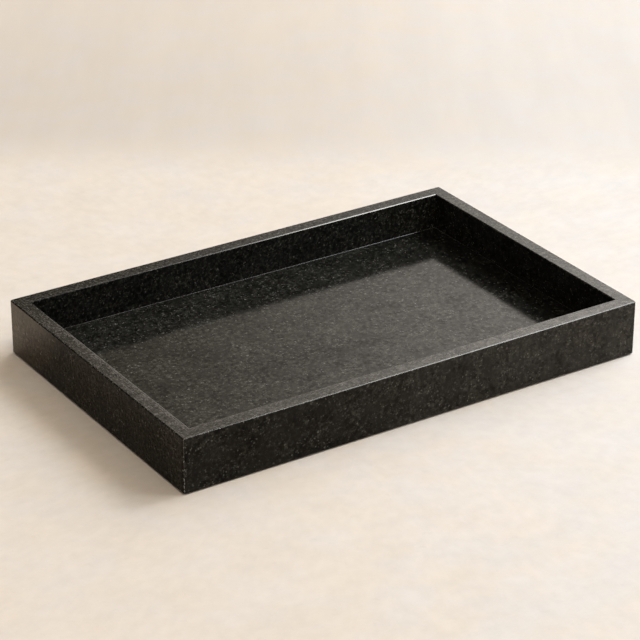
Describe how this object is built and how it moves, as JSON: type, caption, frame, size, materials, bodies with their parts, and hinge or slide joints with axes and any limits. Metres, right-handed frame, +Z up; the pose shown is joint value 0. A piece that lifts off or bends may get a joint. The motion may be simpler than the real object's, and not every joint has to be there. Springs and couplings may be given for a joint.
{
  "type": "stone serving tray",
  "caption": "Shallow rectangular tray of polished black granite: straight mitred walls round a flat floor, standing on low rubber pads.",
  "frame": {"origin": "on the table, under the middle of the tray", "axes": "+X along the long walls, +Y from the front wall to the back wall, +Z up out of the tray"},
  "size_m": [0.4, 0.26, 0.045],
  "materials": {
    "granite": "polished",
    "epoxy": "satin",
    "rubber": "matte",
    "adhesive": "satin"
  },
  "bodies": {
    "root": {"base_slab": "granite", "front_wall": "granite", "right_wall": "granite", "back_wall": "granite", "left_wall": "granite", "front_left_mitre_joint": "epoxy", "front_right_mitre_joint": "epoxy", "back_right_mitre_joint": "epoxy", "back_left_mitre_joint": "epoxy", "front_floor_joint": "epoxy", "right_floor_joint": "epoxy", "back_floor_joint": "epoxy", "left_floor_joint": "epoxy", "front_left_pad": "rubber", "front_right_pad": "rubber", "back_right_pad": "rubber", "back_left_pad": "rubber", "front_left_pad_adhesive": "adhesive", "front_right_pad_adhesive": "adhesive", "back_right_pad_adhesive": "adhesive", "back_left_pad_adhesive": "adhesive"}
  },
  "joints": []
}
